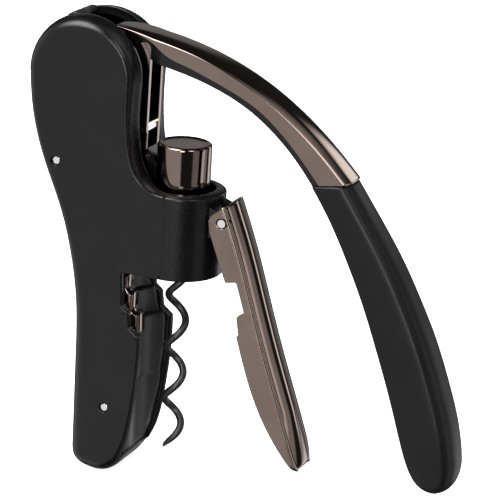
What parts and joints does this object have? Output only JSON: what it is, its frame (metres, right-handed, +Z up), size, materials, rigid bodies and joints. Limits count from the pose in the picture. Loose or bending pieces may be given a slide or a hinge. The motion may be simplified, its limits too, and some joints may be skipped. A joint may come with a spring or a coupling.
{
  "type": "lever corkscrew",
  "caption": "Lever corkscrew: a handle on a cam-guided lever raises the worm through a collar, above a neck cradle and a sprung clamp lever.",
  "frame": {"origin": "on the worm's axis, level with the collar's top face", "axes": "+Z is up along the worm, +X towards the handle, Y across the flat sides"},
  "size_m": [0.1708, 0.032, 0.1735],
  "materials": {
    "housing_paint": "satin",
    "black_plastic": "moulded, satin",
    "polished_steel": "polished",
    "black_nickel": "mirror-polished black nickel plate",
    "bronze": "machined",
    "nonstick_coating": "baked non-stick coating over steel",
    "soft_touch_plastic": "soft-touch"
  },
  "bodies": {
    "housing": {"housing_shell": "housing_paint", "slot_bumper": "black_plastic", "upper_cross_pin": "polished_steel", "lower_cross_pin": "polished_steel", "cam_plate_left": "black_nickel", "cam_plate_right": "black_nickel", "cam_spacer": "polished_steel", "neck_cradle": "black_plastic", "neck_stop_plate": "black_nickel", "worm_bush": "black_plastic", "follower_pin_front": "polished_steel", "follower_pin_rear": "polished_steel", "clamp_pin": "polished_steel", "clamp_spring": "polished_steel"},
    "carriage": {"carriage": "housing_paint", "knob_cap": "black_nickel", "knob_ring": "black_nickel", "carriage_pin": "polished_steel", "thrust_washer": "bronze"},
    "worm": {"worm": "nonstick_coating", "worm_keeper_ring": "polished_steel"},
    "lever": {"lever_arm_left": "black_nickel", "lever_arm_right": "black_nickel", "arm_spacer_rivet": "polished_steel", "roller_axle": "polished_steel", "lever_core": "housing_paint", "lever_cover": "black_nickel", "lever_grip": "soft_touch_plastic", "grip_pin": "polished_steel", "cam_roller_left": "polished_steel", "cam_roller_right": "polished_steel"},
    "clamp": {"clamp_lever": "black_nickel"}
  },
  "joints": [
    {"name": "carriage_slide", "type": "slide", "parent": "housing", "child": "carriage", "axis": [0, 0, 1], "range_m": [0, 0.0622]},
    {"name": "lever_swing", "type": "hinge", "parent": "carriage", "child": "lever", "pos_m": [-0.0155, 0, 0.008], "axis": [0, -1, 0], "range_deg": [0, 95]},
    {"name": "worm_spin", "type": "hinge", "parent": "carriage", "child": "worm", "pos_m": [0, 0, 0], "axis": [0, 0, 1], "range_deg": [0, 1100]},
    {"name": "clamp_swing", "type": "hinge", "parent": "housing", "child": "clamp", "pos_m": [0.0196, 0, -0.009], "axis": [0, 1, 0], "range_deg": [0, 18], "stiffness_Nm_per_rad": 0.4, "springref_deg": -17.19}
  ],
  "couplings": [
    {"joint": "carriage_slide", "follows": "lever_swing", "m_per_rad": 0.037393},
    {"joint": "worm_spin", "follows": "lever_swing", "ratio": 11.517}
  ]
}
